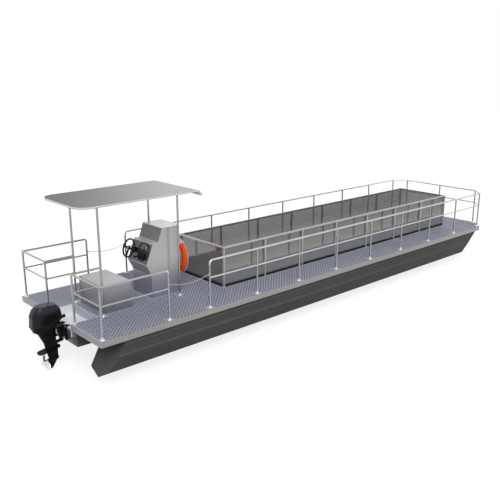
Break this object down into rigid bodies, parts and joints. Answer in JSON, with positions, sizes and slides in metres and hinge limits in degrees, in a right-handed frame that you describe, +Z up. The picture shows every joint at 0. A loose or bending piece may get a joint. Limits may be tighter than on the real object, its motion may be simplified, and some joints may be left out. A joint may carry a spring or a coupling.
{
  "type": "pontoon work boat",
  "caption": "Twin-pontoon work boat with a railed tread-plate deck, open-topped cargo hold, canopied helm console, seat locker and a tilting, steering outboard engine.",
  "frame": {"origin": "amidships on the centreline at the light waterline", "axes": "+X to the bow along the hull, +Y to port, +Z up"},
  "size_m": [12.8731, 3.05, 3.0412],
  "materials": {
    "hull_paint": "satin dark grey",
    "deck_tread": "raised lozenge tread",
    "edge_trim": "satin light grey",
    "pod_paint": "gloss off-white",
    "rail_metal": "brushed",
    "eye_metal": "brushed",
    "rope": "laid rope",
    "hold_frame": "satin",
    "hold_panel": "gloss",
    "hold_base": "matt black",
    "hold_floor": "satin dark grey",
    "seat_paint": "satin grey",
    "seat_top": "satin light grey",
    "hinge_metal": "brushed",
    "console_paint": "satin light grey",
    "console_ledge": "satin pale grey",
    "console_dark": "gloss dark grey",
    "helm_black": "moulded black",
    "ring_orange": "moulded orange",
    "canopy_shell": "gloss light grey",
    "motor_black": "gloss black",
    "bracket_black": "satin black",
    "tilt_steel": "turned",
    "block_metal": "cast",
    "prop_metal": "polished"
  },
  "bodies": {
    "hull": {"pontoon_port": "hull_paint", "pontoon_starboard": "hull_paint", "deck_plate": "deck_tread", "deck_edge_frame": "edge_trim", "well_walls": "edge_trim", "cross_beams": "edge_trim", "engine_pod": "pod_paint", "forward_rail_posts": "rail_metal", "forward_top_rail": "rail_metal", "forward_mid_rail": "rail_metal", "stern_rail_posts": "rail_metal", "stern_top_rails": "rail_metal", "stern_mid_rails": "rail_metal", "gate_bends": "rail_metal", "canopy_posts": "rail_metal", "rope_eyes": "eye_metal", "gate_rope_port": "rope", "gate_rope_starboard": "rope", "hold_posts": "hold_frame", "hold_rim": "hold_frame", "hold_panels_port": "hold_panel", "hold_panels_starboard": "hold_panel", "hold_panel_aft": "hold_panel", "hold_panel_forward": "hold_panel", "hold_base_strips": "hold_base", "hold_floor": "hold_floor", "seat_box": "seat_paint", "seat_hinges": "hinge_metal", "life_ring_bracket": "hinge_metal", "console_body": "console_paint", "console_ledge": "console_ledge", "console_screen": "console_dark", "dash_panel": "console_dark", "helm_boss": "helm_black", "throttle_box": "helm_black", "life_ring": "ring_orange", "canopy_roof": "canopy_shell", "clamp_cheeks": "bracket_black", "tilt_tube": "tilt_steel"},
    "tilt": {"swivel_bracket": "bracket_black"},
    "motor": {"engine_cowl": "motor_black", "powerhead": "block_metal", "drive_leg": "motor_black", "gearcase": "motor_black", "steering_arm": "motor_black"},
    "screw": {"propeller": "prop_metal"},
    "helm": {"helm_wheel": "helm_black"},
    "lid": {"seat_lid": "seat_top"}
  },
  "joints": [
    {"name": "outboard_tilt", "type": "hinge", "parent": "hull", "child": "tilt", "pos_m": [-6.1, 0, 0.402], "axis": [0, 1, 0], "range_deg": [0, 60]},
    {"name": "outboard_steer", "type": "hinge", "parent": "tilt", "child": "motor", "pos_m": [-6.19356, 0, 0.3855], "axis": [-0.1736, 0, 0.9848], "range_deg": [-35, 35]},
    {"name": "propeller_spin", "type": "hinge", "parent": "motor", "child": "screw", "pos_m": [-6.48803, 0, -0.22491], "axis": [0.9848, 0, 0.1736], "continuous": true},
    {"name": "helm_turn", "type": "hinge", "parent": "hull", "child": "helm", "pos_m": [-4.5393, 0.14, 1.54025], "axis": [0.9247, 0, -0.3806], "range_deg": [-530, 530]},
    {"name": "seat_lid_hinge", "type": "hinge", "parent": "hull", "child": "lid", "pos_m": [-5.485, 0, 1.066], "axis": [0, -1, 0], "range_deg": [0, 80]}
  ],
  "couplings": [
    {"joint": "helm_turn", "follows": "outboard_steer", "ratio": 15}
  ]
}
